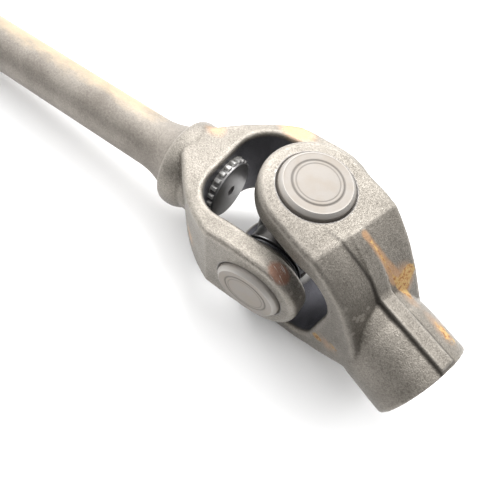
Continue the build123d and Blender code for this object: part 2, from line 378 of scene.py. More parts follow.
class Colours(bpy.types.PropertyGroup):
    """Colours of the finishes."""

    skin_light: FloatVectorProperty(
        name="Light skin",
        description="Blasted forging, light grains",
        subtype="COLOR",
        default=(0.375, 0.345, 0.303),
    )
    skin_dark: FloatVectorProperty(
        name="Dark skin",
        description="Blasted forging, dark grains",
        subtype="COLOR",
        default=(0.085, 0.074, 0.059),
    )
    shaft_light: FloatVectorProperty(
        name="Light shaft",
        description="Weathered bar, light parts",
        subtype="COLOR",
        default=(0.36, 0.33, 0.29),
    )
    shaft_dark: FloatVectorProperty(
        name="Dark shaft",
        description="Weathered bar, dark parts",
        subtype="COLOR",
        default=(0.155, 0.135, 0.115),
    )
    cup: FloatVectorProperty(
        name="Cup",
        description="Drawn steel of the cups",
        subtype="COLOR",
        default=(0.29, 0.268, 0.245),
    )
    # Also laid on the cups' chamfers as a painted highlight.
    bright: FloatVectorProperty(
        name="Bright steel",
        description="Ground or cut steel",
        subtype="COLOR",
        default=(0.60, 0.59, 0.57),
    )
    # Painted shade: a dark colour laid over the inside of the forks' gaps and the bores' mouths.
    gap_shade: FloatVectorProperty(
        name="Dark steel",
        description="Oily steel inside the forks",
        subtype="COLOR",
        default=(0.095, 0.095, 0.110),
    )
    rust: FloatVectorProperty(
        name="Rust",
        description="Fresh orange rust",
        subtype="COLOR",
        default=(0.52, 0.225, 0.055),
    )
    yellow: FloatVectorProperty(
        name="Yellow rust",
        description="Light grains of the rust",
        subtype="COLOR",
        default=(0.58, 0.41, 0.17),
    )
    brown: FloatVectorProperty(
        name="Brown rust",
        description="Dark grains of the rust",
        subtype="COLOR",
        default=(0.20, 0.10, 0.05),
    )
    scuff: FloatVectorProperty(
        name="Scuff",
        description="Reddish rubbed patch",
        subtype="COLOR",
        default=(0.22, 0.10, 0.06),
    )
    # Painted shade: a dark colour laid into the creases beside the parting land, the cups' grooves and walls, and
    # darker patches of the yokes.
    crease_shade: FloatVectorProperty(
        name="Crease",
        description="Dirt along the parting land",
        subtype="COLOR",
        default=(0.030, 0.025, 0.020),
    )
    tan: FloatVectorProperty(
        name="Tan film",
        description="Thin yellow film of rust",
        subtype="COLOR",
        default=(0.50, 0.29, 0.15),
    )
    pale: FloatVectorProperty(
        name="Pale film",
        description="Thin pale film on the bar",
        subtype="COLOR",
        default=(0.52, 0.40, 0.25),
    )
    seal: FloatVectorProperty(
        name="Seal",
        description="Black rubber",
        subtype="COLOR",
        default=(0.018, 0.018, 0.020),
    )
    stain: FloatVectorProperty(
        name="Stain",
        description="Brown film on the cups",
        subtype="COLOR",
        default=(0.34, 0.285, 0.225),
    )
    turned: FloatVectorProperty(
        name="Turned end",
        description="Turned face inside the fork",
        subtype="COLOR",
        default=(0.16, 0.155, 0.155),
    )
    cross: FloatVectorProperty(
        name="Cross",
        description="Hardened dark steel",
        subtype="COLOR",
        default=(0.10, 0.095, 0.09),
    )
    retainer: FloatVectorProperty(
        name="Retainer",
        description="Pressed steel of the seals",
        subtype="COLOR",
        default=(0.42, 0.42, 0.42),
    )
    ring: FloatVectorProperty(
        name="Ring",
        description="Spring steel of the rings",
        subtype="COLOR",
        default=(0.34, 0.33, 0.32),
    )
    paper: FloatVectorProperty(
        name="Paper",
        description="White floor",
        subtype="COLOR",
        default=(0.96, 0.96, 0.96),
    )


class StageSizes(bpy.types.PropertyGroup):
    """Camera, lights and floor."""

    lens: FloatProperty(
        name="Lens",
        description="Focal length in millimetres on a 36 mm sensor",
        default=30.38,
    )
    floor: FloatProperty(
        name="Floor",
        description="Side of the floor",
        default=6.0,
        unit="LENGTH",
    )
    sky: FloatProperty(
        name="Sky",
        description="Brightness towards the window",
        default=2.5,
    )
    horizon: FloatProperty(
        name="Horizon",
        description="Brightness away from the window",
        default=0.12,
    )
    window: FloatVectorProperty(
        name="Window",
        description="Direction of the window",
        default=(-0.58, 0.36, 0.73),
    )
    edge: FloatProperty(
        name="Sky edge",
        description="Cosine to the window where the sky starts to brighten",
        default=-0.15,
    )
    key: FloatProperty(
        name="Key",
        description="Power of the key light in watts",
        default=7.6,
    )
    key_place: FloatVectorProperty(
        name="Key place",
        description="From the joint to the key light",
        default=(-0.40, 0.42, 0.72),
        subtype="TRANSLATION",
    )
    fill: FloatProperty(
        name="Fill",
        description="Power of the fill light in watts",
        default=0.608,
    )
    fill_place: FloatVectorProperty(
        name="Fill place",
        description="From the joint to the fill light",
        default=(-0.75, -0.15, 0.35),
        subtype="TRANSLATION",
    )
    camera_place: FloatVectorProperty(
        name="Camera place",
        description="From the joint to the camera",
        default=(0.0357, -0.0709, 0.1293),
        subtype="TRANSLATION",
    )
    camera_right: FloatVectorProperty(
        name="Camera right",
        description="Direction of the picture's right side",
        default=(0.6009, 0.7864, 0.1430),
    )
    camera_down: FloatVectorProperty(
        name="Camera down",
        description="Direction of the picture's lower side",
        default=(0.7539, -0.4982, -0.4283),
    )


class Signal:
    """A socket whose number can be used in arithmetic, which adds Math nodes."""

    def __init__(self, tree, socket):
        self.tree = tree
        self.socket = socket

    def maths(self, operation, first, second):
        """Adds a Math node of two numbers or signals."""
        node = self.tree.nodes.new("ShaderNodeMath")
        node.operation = operation
        for slot, value in zip(node.inputs, (first, second)):
            if isinstance(value, Signal):
                self.tree.links.new(value.socket, slot)
            else:
                slot.default_value = value
        return Signal(self.tree, node.outputs[0])

    def __add__(self, other):
        return self.maths("ADD", self, other)

    def __radd__(self, other):
        return self.maths("ADD", other, self)

    def __sub__(self, other):
        return self.maths("SUBTRACT", self, other)

    def __rsub__(self, other):
        return self.maths("SUBTRACT", other, self)

    def __mul__(self, other):
        return self.maths("MULTIPLY", self, other)

    def __rmul__(self, other):
        return self.maths("MULTIPLY", other, self)


class Nodes:
    """A node tree and the one way of adding nodes to it."""

    def __init__(self, tree):
        self.tree = tree

    def node(self, kind, settings, sockets, output=0):
        """Adds a node: its settings first, then the values or links of its sockets."""
        node = self.tree.nodes.new("ShaderNode" + kind)
        for key, value in settings.items():
            setattr(node, key, value)
        for key, value in sockets.items():
            if isinstance(value, Signal):
                self.tree.links.new(value.socket, node.inputs[key])
            else:
                node.inputs[key].default_value = value
        return Signal(self.tree, node.outputs[output])

    def ramp(self, value, low, high, bottom=0.0, top=1.0):
        """Goes from bottom to top, smoothly, as the value goes from low to high."""
        sockets = {"Value": value, "From Min": low, "From Max": high}
        sockets |= {"To Min": bottom, "To Max": top}
        return self.node("MapRange", {"interpolation_type": "SMOOTHSTEP"}, sockets)


class Finish(Nodes):
    """A material whose surface is one principled shader."""

    def __init__(self, name, **fixed):
        self.material = bpy.data.materials.new(name)
        self.material.use_nodes = True
        super().__init__(self.material.node_tree)
        self.shader = self.tree.nodes["Principled BSDF"]
        for key, value in fixed.items():
            self.shader.inputs[key.replace("_", " ")].default_value = value
        self.place = self.node("TexCoord", {}, {}, "Object")

    def speckle(self, grain, detail=3.0, roughness=0.55, stretch=(1, 1, 1)):
        """Noise from 0 to 1 with grains about this large, in metres."""
        where = self.place
        if stretch != (1, 1, 1):
            where = self.node("Mapping", {}, {"Vector": where, "Scale": stretch})
        sockets = {"Vector": where, "Scale": 1 / grain, "Detail": detail, "Roughness": roughness}
        return self.node("TexNoise", {}, sockets)

    def layer(self, factor, below, above):
        """Colour mix of two colours."""
        sockets = {0: factor, 6: self.colour(below), 7: self.colour(above)}
        return self.node("Mix", {"data_type": "RGBA"}, sockets, 2)

    @staticmethod
    def colour(value):
        """A colour signal as it is, or a plain colour with its alpha."""
        return value if isinstance(value, Signal) else (*value, 1)

    def painted(self, name):
        """A mask that is stored on the mesh."""
        return self.node("Attribute", {"attribute_name": name}, {}, "Fac")

    def relief(self, height, distance, strength=1.0):
        """Bumps of this height, as a normal."""
        sockets = {"Height": height, "Distance": distance, "Strength": strength}
        return self.node("Bump", {}, sockets)

    def show(self, **links):
        """Links the shader's inputs and returns the material."""
        for key, value in links.items():
            self.tree.links.new(value.socket, self.shader.inputs[key.replace("_", " ")])
        return self.material


def forged_finish(colours):
    """Shot-blasted forging with worn edges and rust, with painted shade in its hollows, creases and gaps."""
    f = Finish("forged_skin", Metallic=0.68, IOR=1.6)
    coarse = f.speckle(9 * MM, 3)
    grain = f.speckle(0.55 * MM, 3, 0.6)
    fine = f.speckle(0.28 * MM, 2, 0.6)
    # Pointiness lightens the convex edges as worn steel and darkens the hollows as painted shade.
    edge = f.ramp(f.node("NewGeometry", {}, {}, "Pointiness"), 0.47, 0.56)
    light = f.ramp(0.20 * coarse + 0.40 * grain + 0.40 * fine + 0.34 * edge, 0.35, 0.89)
    skin = f.layer(light, colours.skin_dark, colours.skin_light)
    rust = f.painted("rust")
    film = f.painted("film")
    patchy = f.speckle(1.7 * MM, 5, 0.72)
    rust_mask = f.ramp(rust + 1.1 * patchy, 1.00, 1.25) * f.ramp(rust, 0.0, 0.06)
    film_mask = f.ramp(film + 0.7 * coarse, 0.75, 1.35)
    skin = f.layer(0.75 * film_mask, skin, colours.tan)
    tint = f.speckle(1.2 * MM, 4, 0.7)
    rusty = f.layer(f.ramp(tint, 0.40, 0.53), colours.rust, colours.yellow)
    rusty = f.layer(0.8 * f.ramp(tint, 0.48, 0.36), rusty, colours.brown)
    skin = f.layer(0.78 * rust_mask, skin, rusty)
    # Painted shade: darkens the socket yoke's -Y side and a patch at the shaft yoke's near ear tip.
    skin = f.layer(0.32 * f.painted("painted_shade"), skin, colours.crease_shade)
    scratch = f.speckle(0.9 * MM, 2, 0.5, (0.35, 2.6, 0.35))
    scuff_mask = f.ramp(f.painted("scuff") + 0.5 * patchy, 0.55, 1.05)
    skin = f.layer(0.75 * scuff_mask, skin, colours.scuff)
    skin = f.layer(0.6 * scuff_mask * f.ramp(scratch, 0.60, 0.70), skin, colours.bright)
    # Painted shade: dark lines laid along the creases beside the parting land.
    skin = f.layer(0.9 * f.painted("crease_shade"), skin, colours.crease_shade)
    # Painted shade: the inside of the fork's gap and the bores' mouths are laid dark.
    inside = f.painted("inside")
    skin = f.layer(0.96 * inside, skin, colours.gap_shade)
    cut = f.painted("cut")
    skin = f.layer(cut, skin, colours.bright)
    rough = 0.37 + 0.12 * fine - 0.06 * edge + 0.30 * rust_mask
    bumps = f.relief((0.8 * grain + 0.5 * fine) * (1 - 0.9 * cut), 0.19 * MM, 1.0)
    return f.show(Base_Color=skin, Roughness=rough, Normal=bumps)


def shaft_finish(colours):
    """Turned bar with fine pits, a pale weathered film and bright splines."""
    f = Finish("shaft_skin", Metallic=0.60, IOR=1.6)
    cloud = f.speckle(14 * MM, 3)
    pits = f.speckle(0.8 * MM, 4, 0.65)
    fine = f.speckle(0.3 * MM, 2)
    light = f.ramp(0.35 * cloud + 0.40 * pits + 0.30 * fine, 0.35, 0.80)
    skin = f.layer(light, colours.shaft_dark, colours.shaft_light)
    film = f.painted("film")
    blotch = f.speckle(3.5 * MM, 4, 0.65, (0.45, 1, 1))
    film_mask = f.ramp(0.85 * film + 0.5 * cloud + 0.7 * blotch, 0.9, 1.6)
    skin = f.layer(0.7 * film_mask, skin, colours.pale)
    cut = f.painted("cut")
    skin = f.layer(cut, skin, colours.bright)
    inside = f.painted("inside")
    skin = f.layer(0.9 * inside, skin, colours.turned)
    rough = 0.46 + 0.18 * pits - 0.20 * cut
    bumps = f.relief(0.7 * pits + 0.3 * fine, 0.08 * MM, 0.7)
    return f.show(Base_Color=skin, Roughness=rough, Normal=bumps)


def cup_finish(colours):
    """Drawn cup: satin stained face, painted shade in its grooves and on its wall, and a painted highlight on its
    chamfer.
    """
    f = Finish("cup_skin", Metallic=0.55, IOR=1.5)
    cloud = f.speckle(6 * MM, 3)
    fine = f.speckle(0.25 * MM, 2)
    edge = f.painted("rim")
    stain = f.ramp(cloud, 0.35, 0.75)
    skin = f.layer(0.35 * stain, colours.cup, colours.stain)
    # Painted highlight: the chamfer's band is laid brighter in colour, and smoother.
    skin = f.layer(0.30 * edge, skin, colours.bright)
    # Painted shade in the face's grooves and on the wall that sits inside the ear's bore.
    skin = f.layer(0.55 * f.painted("crease_shade"), skin, colours.crease_shade)
    skin = f.layer(0.8 * f.painted("wall_shade"), skin, colours.crease_shade)
    rough = 0.58 + 0.10 * fine + 0.06 * stain - 0.16 * edge
    bumps = f.relief(fine + 0.4 * cloud, 0.03 * MM, 0.6)
    return f.show(Base_Color=skin, Roughness=rough, Normal=bumps)


def steel_finish(name, colour, roughness):
    """Plain ground or spring steel with a fine grain and oil."""
    f = Finish(name, Metallic=0.95, IOR=1.8)
    oil = f.speckle(2.2 * MM, 3)
    fine = f.speckle(0.2 * MM, 2)
    oiled = tuple(0.55 * part for part in colour)
    skin = f.layer(f.ramp(oil, 0.3, 0.75), colour, oiled)
    bumps = f.relief(fine, 0.02 * MM, 0.5)
    return f.show(Base_Color=skin, Roughness=roughness + 0.15 * oil, Normal=bumps)


def rubber_finish(colours):
    """Oily black rubber."""
    f = Finish("seal_skin", Metallic=0.0, IOR=1.5, Coat_Weight=0.3, Coat_Roughness=0.2)
    grain = f.speckle(0.5 * MM, 3)
    grey = tuple(2.2 * part for part in colours.seal)
    skin = f.layer(f.ramp(grain, 0.4, 0.8), colours.seal, grey)
    bumps = f.relief(grain, 0.03 * MM, 0.6)
    return f.show(Base_Color=skin, Roughness=0.34 + 0.2 * grain, Normal=bumps)


def new_piece(name, vertices, faces, matrix):
    """Mesh object from points in a local frame, placed in the part's frame."""
    mesh = bpy.data.meshes.new(name)
    mesh.from_pydata([tuple(point) for point in vertices], [], faces)
    mesh.transform(matrix)
    mesh.validate()
    mesh.update()
    piece = bpy.data.objects.new(name, mesh)
    bpy.context.scene.collection.objects.link(piece)
    return piece


def shade(piece, material, angle=32):
    """Smooth shading with creases where faces turn by more than the angle."""
    mesh = piece.data
    mesh.polygons.foreach_set("use_smooth", [True] * len(mesh.polygons))
    mesh.set_sharp_from_angle(angle=math.radians(angle))
    mesh.materials.clear()
    mesh.materials.append(material)


def lathe(name, profile, matrix, segments=128, tooth=None):
    """Solid turned about the local X axis from (radius, distance) points that start and end on it.

    A point's third number is its share of the tooth, whose extra radius tooth gives for an angle.
    The sense in which the profile runs round its own area decides the order of the faces' corners,
    so the faces always point outwards.
    """
    vertices, faces, rings = [], [], []
    area = sum(a[0] * b[1] - b[0] * a[1] for a, b in zip(profile, profile[1:]))
    order = -1 if area > 0 else 1
    for point in profile:
        radius, along = point[0], point[1]
        share = point[2] if len(point) > 2 else 0
        if radius < ON_AXIS:
            rings.append([len(vertices)] * segments)
            vertices.append((along, 0, 0))
            continue
        rings.append(list(range(len(vertices), len(vertices) + segments)))
        for step in range(segments):
            angle = 2 * math.pi * step / segments
            reach = radius + (share * tooth(angle) if share else 0)
            vertices.append((along, reach * math.cos(angle), reach * math.sin(angle)))
    for here, there in zip(rings, rings[1:]):
        for step in range(segments):
            after = (step + 1) % segments
            corners = [here[step], there[step], there[after], here[after]][::order]
            face = [corner for place, corner in enumerate(corners) if corner not in corners[:place]]
            if len(face) > 2:
                faces.append(face)
    return new_piece(name, vertices, faces, matrix)


def rounded(points, size, steps=4):
    """The same (radius, distance) outline with its corners rounded."""
    outline = [points[0]]
    for before, corner, after in zip(points, points[1:], points[2:]):
        b, c, a = Vector(before), Vector(corner), Vector(after)
        reach = min(size, (b - c).length * 0.45, (a - c).length * 0.45)
        start = c + (b - c).normalized() * reach
        end = c + (a - c).normalized() * reach
        for step in range(steps + 1):
            t = step / steps
            outline.append(tuple(start * (1 - t) ** 2 + c * 2 * t * (1 - t) + end * t * t))
    outline.append(points[-1])
    return outline


def evaluated(piece):
    """Replaces a piece's mesh by what its modifiers make of it."""
    bpy.context.view_layer.update()
    graph = bpy.context.evaluated_depsgraph_get()
    mesh = bpy.data.meshes.new_from_object(piece.evaluated_get(graph))
    piece.modifiers.clear()
    old = piece.data
    piece.data = mesh
    bpy.data.meshes.remove(old)


def cut_away(piece, cutters):
    """Cuts the cutters out of a piece and deletes them."""
    for cutter in cutters:
        modifier = piece.modifiers.new("cut", "BOOLEAN")
        modifier.operation = "DIFFERENCE"
        modifier.solver = "EXACT"
        modifier.object = cutter
        evaluated(piece)
        bpy.data.objects.remove(cutter)


def points_of(mesh):
    """The mesh's vertices as an array."""
    flat = np.empty(len(mesh.vertices) * 3)
    mesh.vertices.foreach_get("co", flat)
    return flat.reshape(-1, 3)


def local_points(mesh, matrix):
    """The mesh's vertices in a local frame, in millimetres."""
    inverse = np.array(matrix.inverted())
    return (points_of(mesh) @ inverse[:3, :3].T + inverse[:3, 3]) / MM


def paint(mesh, name, values):
    """Stores a mask on the mesh's points."""
    layer = mesh.attributes.new(name, "FLOAT", "POINT")
    layer.data.foreach_set("value", np.clip(values, 0, 1).astype(np.float32))


def near(points, centre, reach):
    """1 at the centre, falling to 0 at a distance; centre and reach in millimetres."""
    distance = np.linalg.norm((points - np.array(centre)) / np.array(reach), axis=1)
    return np.clip(1 - distance, 0, 1)


def beside(points, path, reach):
    """1 on a path of (x, y) corners, falling to 0 at a distance to either side, in millimetres."""
    nearest = np.full(len(points), 1e9)
    for start, end in zip(np.array(path), np.array(path)[1:]):
        run = end - start
        share = np.clip((points[:, :2] - start) @ run / (run @ run), 0, 1)
        gap = points[:, :2] - start - share[:, None] * run
        nearest = np.minimum(nearest, np.hypot(gap[:, 0], gap[:, 1]))
    return np.clip(1 - nearest / reach, 0, 1)


def patches(points, spots):
    """Sum of round patches, each a strength, a centre and a reach in millimetres."""
    return sum(strength * near(points, centre, reach) for strength, centre, reach in spots)


def step_up(values, low, high):
    """0 below low and 1 above high."""
    return np.clip((values - low) / (high - low), 0, 1)


def ridge(values, centre, width):
    """1 at the centre, falling softly to both sides."""
    return np.exp(-(((values - centre) / width) ** 2))


def roughen(mesh, wave, peel):
    """Moves points along their normals by the forging's waves and grain."""
    wave_length, grain_length = 6 * MM, 1.1 * MM
    points = points_of(mesh)
    normals = np.empty(len(mesh.vertices) * 3)
    mesh.vertices.foreach_get("normal", normals)
    lift = np.empty(len(points))
    for index, point in enumerate(points):
        slow = noise.noise(Vector(point) / wave_length)
        fast = noise.noise(Vector(point) / grain_length)
        lift[index] = wave * slow + peel * fast
    points += normals.reshape(-1, 3) * lift[:, None]
    mesh.vertices.foreach_set("co", points.ravel())
    mesh.update()


def tooth_height(depth, teeth):
    """Height of a tooth at an angle, with a tooth at angle 0 and sloping sides."""
    half_width, flank = 0.27, 0.10

    def height(angle):
        phase = (angle * teeth / (2 * math.pi) + 0.5) % 1 - 0.5
        edge = (half_width - abs(phase)) / flank
        return depth * min(1.0, max(0.0, edge + 0.5))

    return height


def ear_frames(matrix):
    """Frames of a yoke's two ears, whose X axis points out of the joint."""
    return [matrix @ side.to_track_quat("X", "Y").to_matrix().to_4x4() for side in (UP, -UP)]


def bore_cutters(sizes, matrix):
    """Cutters for both ears: bore, chamfered mouth and the ring's face."""
    start = 8 * MM
    mouth = sizes.ear_face - sizes.chamfer
    spot = sizes.ear_inside + sizes.spot_depth
    over = 3 * sizes.chamfer
    outline = [
        (0, start),
        (sizes.spot, start),
        (sizes.spot, spot),
        (sizes.bore, spot),
        (sizes.bore, mouth),
        (sizes.bore + over, mouth + over),
        (0, mouth + over),
    ]
    return [lathe("cutter", outline, ear) for ear in ear_frames(matrix)]


def make_forging(name, node, plugs, cutters, sizes):
    """Forged skin around a packed yoke: holes filled, edges softened, grain added, holes cut again."""
    piece = bpy.data.objects.new(name, PARTS[node].data.copy())
    bpy.context.scene.collection.objects.link(piece)
    piece.data.materials.clear()
    join_meshes(piece, plugs)
    remesh = piece.modifiers.new("skin", "REMESH")
    remesh.mode = "VOXEL"
    remesh.voxel_size = sizes.voxel * 1.0
    soften = piece.modifiers.new("soften", "SMOOTH")
    soften.factor = 0.5
    soften.iterations = sizes.passes
    evaluated(piece)
    roughen(piece.data, sizes.wave, sizes.peel)
    cut_away(piece, cutters)
    return piece


def join_meshes(piece, others):
    """Adds other objects' meshes to a piece and deletes them."""
    for other in others:
        bpy.context.view_layer.update()
        both = [piece, other]
        with bpy.context.temp_override(active_object=piece, selected_editable_objects=both):
            bpy.ops.object.join()


def disc(radius, start, end):
    """Outline of a plain round plug between two distances."""
    return [(0, start), (radius, start), (radius, end), (0, end)]


def fork_plugs(sizes, matrix, base, end):
    """Discs that fill the ears' bores and the splined hole before the skin is made."""
    ear = disc(sizes.spot + 0.3 * MM, sizes.ear_inside, sizes.ear_face)
    plugs = [lathe("plug", ear, place) for place in ear_frames(matrix)]
    plugs.append(lathe("plug", disc(13 * MM, base, end), matrix))
    return plugs


def fork_masks(mesh, matrix, base, bore):
    """Lays painted shade inside the fork's gap and at the bores' mouths, paints the cut faces, and returns the
    points in the yoke's frame.

    base is the distance to the fork's base and bore the radius of the splined hole, in millimetres.
    """
    points = local_points(mesh, matrix)
    x, y, z = points.T
    height = np.abs(z)
    from_pin = np.hypot(x, y)
    # The inner faces of the fork's gap get painted shade.
    deep = step_up(-height, -20.75, -20.35) * step_up(-x, -base - 0.45, -base)
    half_width = np.interp(x, (0, 13, 32.6, 46), (18.3, 18.3, 16.2, 16.2))
    side = step_up(half_width - np.abs(y), 1.2, 2.2)
    bearing = (from_pin < 12.25) & (height > 20.0) & (height < 27.0)
    spline = (np.hypot(y, z) < bore) & (x > base - 0.1)
    # The chamfered mouth of each bore gets painted shade, beside the cup.
    rim = ridge(from_pin, 12.5, 0.35) * step_up(height, 27.2, 27.6)
    paint(mesh, "inside", np.maximum(deep * side, 0.9 * rim))
    paint(mesh, "cut", np.where(bearing | spline, 1.0, 0.0))
    return points


class DRIVESHAFT_OT_socket_yoke(bpy.types.Operator):
    """Build the forged yoke with the splined socket"""

    bl_idname = "driveshaft.socket_yoke"
    bl_label = "Socket yoke"

    def execute(self, context):
        sizes = context.scene.forging_sizes
        base, reach = sizes.socket_base, sizes.socket_reach
        plugs = fork_plugs(sizes, SOCKET_FRAME, base, reach)
        cutters = bore_cutters(sizes, SOCKET_FRAME)
        height = tooth_height(sizes.depth, sizes.teeth)
        root = sizes.socket_spline - sizes.depth
        pilot = MOUNTS["socket_bore"]["dims"]["r_mm"] * MM
        pilot_start = reach - MOUNTS["socket_bore"]["dims"]["length_mm"] * MM
        start = base - CUTTER_LEAD
        mouth = 0.6 * MM
        outline = [
            (0, start),
            (root, start, 1),
            (root, pilot_start, 1),
            (pilot, pilot_start, 0),
            (pilot, reach - mouth, 0),
            (pilot + 2 * mouth, reach + mouth, 0),
            (0, reach + mouth),
        ]
        steps = sizes.teeth * STEPS_PER_TOOTH
        cutters.append(lathe("cutter", outline, SOCKET_FRAME, steps, height))
        piece = make_forging("socket_yoke_forging", "socket_yoke", plugs, cutters, sizes)
        points = fork_masks(piece.data, SOCKET_FRAME, base / MM, pilot / MM + 0.5)
        self.weather(piece.data, points)
        shade(piece, bpy.data.materials["forged_skin"], 40)
        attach(piece, "socket")
        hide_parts("socket_yoke")
        return {"FINISHED"}

    @staticmethod
    def weather(mesh, points):
        """Paints the rust beside the parting land, its yellow film, painted shade along the creases and painted
        shade on the -Y side.
        """
        above = step_up(points[:, 2], 5, 9)
        rust_line = ((22.5, 2.3), (29.3, 4), (33.1, 5), (36.5, 6.3), (40, 8.4))
        rust_spots = (
            (1.1, (36.5, 9.5, 17), (4.5, 6, 5)),
            (0.8, (41, 9, 13.5), (5, 4, 4)),
            (0.95, (56, 8.5, 13.5), (9, 5, 5)),
            (0.75, (35.2, 12.8, 18.3), (4, 4.5, 4)),
            (1.0, (33.5, -16.5, -6), (4, 3, 4)),
            (0.7, (39, -16.5, -1), (5, 3, 4)),
        )
        film_line = ((20, 1.6), (23, 2.3), (29.3, 4), (34, 5.5))
        film_spots = (
            (1.2, (36, 9, 17), (11, 9, 9)),
            (0.95, (54, 8, 13), (16, 7, 8)),
            (0.8, (37, -16, -3), (11, 5, 8)),
        )
        left_bend = ((11, -7.8), (17.3, -6.4), (21.5, -5.6), (26.8, -4.3), (31, -3.3))
        left_edge = (*left_bend, (36, -2.95), (63, -2.95))
        right_edge = ((40, 2.95), (63, 2.95))
        streak = beside(points, rust_line, 1.25) * above
        yellow = beside(points, film_line, 2.6) * above
        # Painted shade: dark lines along the creases on both sides of the parting land.
        crease_shade = beside(points, left_edge, 1.0) * above * step_up(points[:, 0], 9, 22)
        other = beside(points, right_edge, 0.9) * above
        paint(mesh, "rust", 0.75 * streak + patches(points, rust_spots))
        paint(mesh, "film", 1.2 * yellow + patches(points, film_spots))
        paint(mesh, "crease_shade", 1.25 * crease_shade + 0.6 * other)
        # Painted shade: darker towards the yoke's -Y side.
        paint(mesh, "painted_shade", step_up(-points[:, 1], 9, 15))


class DRIVESHAFT_OT_shaft_yoke(bpy.types.Operator):
    """Build the forged yoke that is splined to the shaft"""

    bl_idname = "driveshaft.shaft_yoke"
    bl_label = "Shaft yoke"

    def execute(self, context):
        sizes = context.scene.forging_sizes
        base, end = sizes.shaft_base, sizes.shaft_hub
        plugs = fork_plugs(sizes, SHAFT_FRAME, base, end)
        cutters = bore_cutters(sizes, SHAFT_FRAME)
        height = tooth_height(sizes.depth, sizes.teeth)
        root = sizes.socket_spline - sizes.depth + 0.02 * MM
        start = base - CUTTER_LEAD
        past = end + 3 * MM
        outline = [(0, start), (root, start, 1), (root, past, 1), (0, past)]
        steps = sizes.teeth * STEPS_PER_TOOTH
        cutters.append(lathe("cutter", outline, SHAFT_FRAME, steps, height))
        piece = make_forging("shaft_yoke_forging", "shaft_yoke", plugs, cutters, sizes)
        points = fork_masks(piece.data, SHAFT_FRAME, base / MM, sizes.socket_spline / MM + 0.4)
        film_spots = (
            (1.3, (18, 17, 25), (16, 7, 8)),
            (1.2, (42, 14, 8), (9, 8, 8)),
            (0.9, (29, -5, -22), (14, 10, 7)),
            (0.5, (14, 17, -24), (14, 5, 7)),
        )
        rust_spots = ((0.6, (22, 17.5, 25), (7, 3, 4)), (0.5, (42, 15, 7), (4, 4, 5)))
        paint(piece.data, "rust", patches(points, rust_spots))
        paint(piece.data, "film", patches(points, film_spots))
        paint(piece.data, "scuff", 1.6 * near(points, (-8, 16.5, -25), (7, 4.5, 4.5)))
        # Painted shade: a darker patch at the tip of the near ear.
        paint(piece.data, "painted_shade", 0.8 * near(points, (-12, 13, -26), (8, 8, 8)))
        shade(piece, bpy.data.materials["forged_skin"], 40)
        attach(piece, "shaft")
        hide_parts("shaft_yoke")
        return {"FINISHED"}


class DRIVESHAFT_OT_shaft(bpy.types.Operator):
    """Build the turned shaft with its splines"""

    bl_idname = "driveshaft.shaft"
    bl_label = "Shaft"

    def execute(self, context):
        s = context.scene.shaft_sizes
        forging = context.scene.forging_sizes
        height = tooth_height(forging.depth, forging.teeth)
        boss_end = s.tip + s.boss_length
        tip_root = s.tip_spline - forging.depth
        far_root = s.far_spline - forging.depth
        far_start = s.far_end - s.far_length
        nose_end = s.far_end + s.nose_length
        edge = 0.25 * MM
        step = 0.01 * MM
        profile = [
            (0, s.tip + s.mark, 0),
            (s.mark, s.tip, 0),
            (s.boss - 2 * edge, s.tip, 0),
            (s.boss - 0.6 * edge, s.tip + 0.6 * edge, 0),
            (s.boss, s.tip + 2 * edge, 0),
            (s.boss, boss_end, 0),
            (tip_root, boss_end, 0),
            (tip_root, boss_end + step, 0.7),
            (tip_root, boss_end + edge, 1),
            (tip_root, s.seat, 1),
            (tip_root, s.seat + step, 0),
            (s.flare, s.seat + step, 0),
        ]
        rise = s.flare - s.radius
        bow = (s.flare_length**2 + rise**2) / (2 * rise)
        flare_end = s.seat + s.flare_length
        plain = far_start - s.chamfer - flare_end
        flare_stations, plain_stations = 16, 40
        for station in range(1, flare_stations + 1):
            run = s.flare_length * (1 - station / flare_stations)
            profile.append((s.radius + bow - math.sqrt(bow**2 - run**2), flare_end - run, 0))
        for station in range(1, plain_stations + 1):
            profile.append((s.radius, flare_end + plain * station / plain_stations, 0))
        profile += [
            (far_root + 0.6 * forging.depth, far_start - 0.4 * s.chamfer, 0.4),
            (far_root, far_start + 1.5 * s.chamfer, 1),
            (far_root, s.far_end - s.chamfer, 1),
            (far_root, s.far_end - 0.05 * MM, 0),
            (far_root, s.far_end, 0),
            (s.nose, s.far_end, 0),
            (s.nose, nose_end - s.chamfer, 0),
            (s.nose - s.chamfer, nose_end, 0),
            (s.mark, nose_end, 0),
            (0, nose_end - s.mark, 0),
        ]
        piece = lathe("shaft_bar", profile, SHAFT_FRAME, forging.teeth * 12, height)
        x, y, z = local_points(piece.data, SHAFT_FRAME).T
        in_yoke = x < s.seat / MM
        far_teeth = x > far_start / MM + 0.5
        turned_face = np.hypot(y, z) < s.boss / MM + 0.1
        top_side = np.clip(np.cos(np.arctan2(z, y) - 0.7), 0, 1) ** 2
        paint(piece.data, "inside", np.where(in_yoke & turned_face, 1.0, 0.0))
        paint(piece.data, "cut", np.where(in_yoke, 1.0, 0.0) + np.where(far_teeth, 0.12, 0.0))
        paint(piece.data, "film", top_side * step_up(x, 52, 75) * step_up(-x, -228, -215))
        shade(piece, bpy.data.materials["shaft_skin"], 30)
        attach(piece, "shaft")
        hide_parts("drive_shaft")
        return {"FINISHED"}


